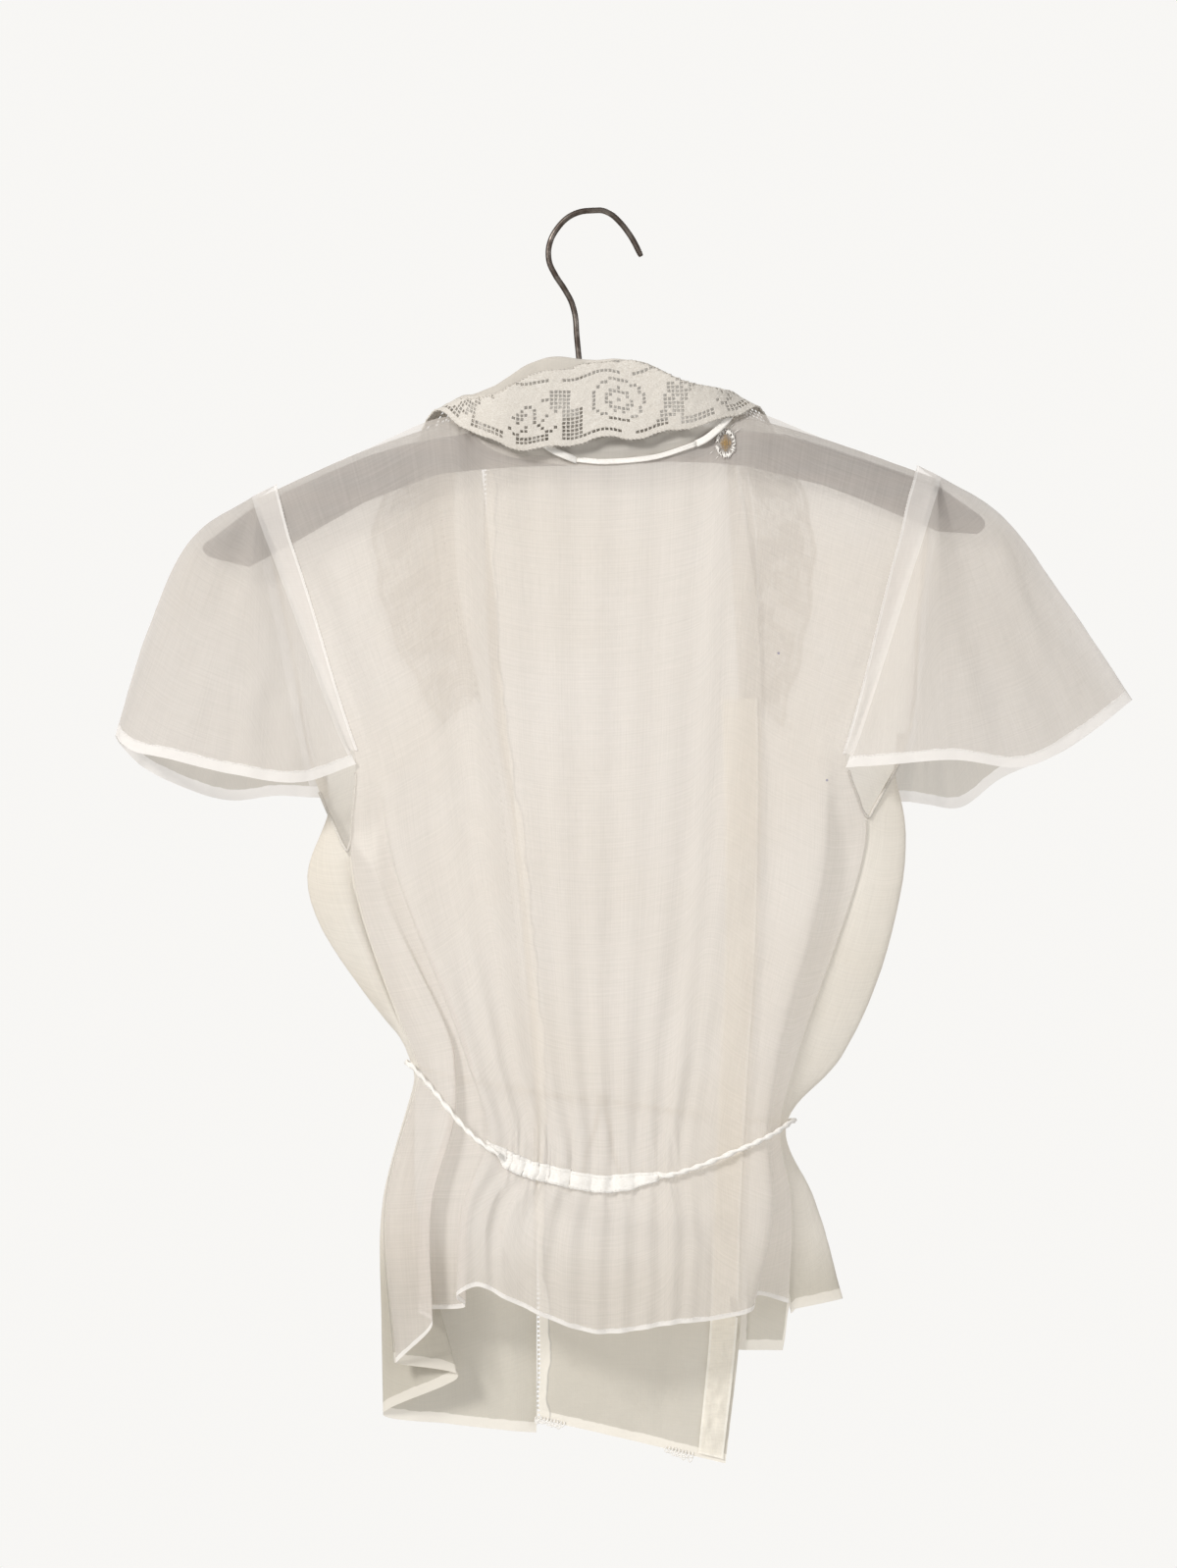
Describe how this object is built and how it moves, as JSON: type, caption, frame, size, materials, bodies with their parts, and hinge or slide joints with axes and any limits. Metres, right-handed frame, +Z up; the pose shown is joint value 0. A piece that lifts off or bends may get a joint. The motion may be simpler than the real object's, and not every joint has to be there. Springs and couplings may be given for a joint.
{
  "type": "sheer blouse on hanger",
  "caption": "Sheer short-sleeved cotton blouse with a lace collar and gathered waist, hanging on a flat wooden hanger with a bent wire hook.",
  "frame": {"origin": "inside of the crown of the hanger's wire hook, where a rail or peg carries it", "axes": "+Z up, +X to the right of someone who looks at the back of the blouse, -Y out of its back"},
  "size_m": [0.5619, 0.06, 0.6944],
  "materials": {
    "sheer_cotton": "thin sheer cotton voile, matt, slightly yellowed",
    "cream_facing": "cream cotton facing, wrinkled",
    "filet_lace": "cotton filet lace on fine netting",
    "white_binding": "narrow white cotton strip",
    "dark_wood": "dark stained wood, worn satin",
    "dark_wire": "darkened steel wire"
  },
  "bodies": {
    "root": {"back": "sheer_cotton", "front_left": "sheer_cotton", "front_right": "sheer_cotton", "front_panel": "sheer_cotton", "sleeve_left": "sheer_cotton", "sleeve_right": "sheer_cotton", "facing_right": "cream_facing", "collar": "filet_lace", "neck_binding": "white_binding", "waistband": "white_binding", "binding_left": "white_binding", "binding_right": "white_binding", "tie_left": "white_binding", "tie_right": "white_binding", "tie_end_left": "white_binding", "tie_end_right": "white_binding", "tie_knot": "white_binding", "hanger": "dark_wood", "hook": "dark_wire"}
  },
  "joints": []
}
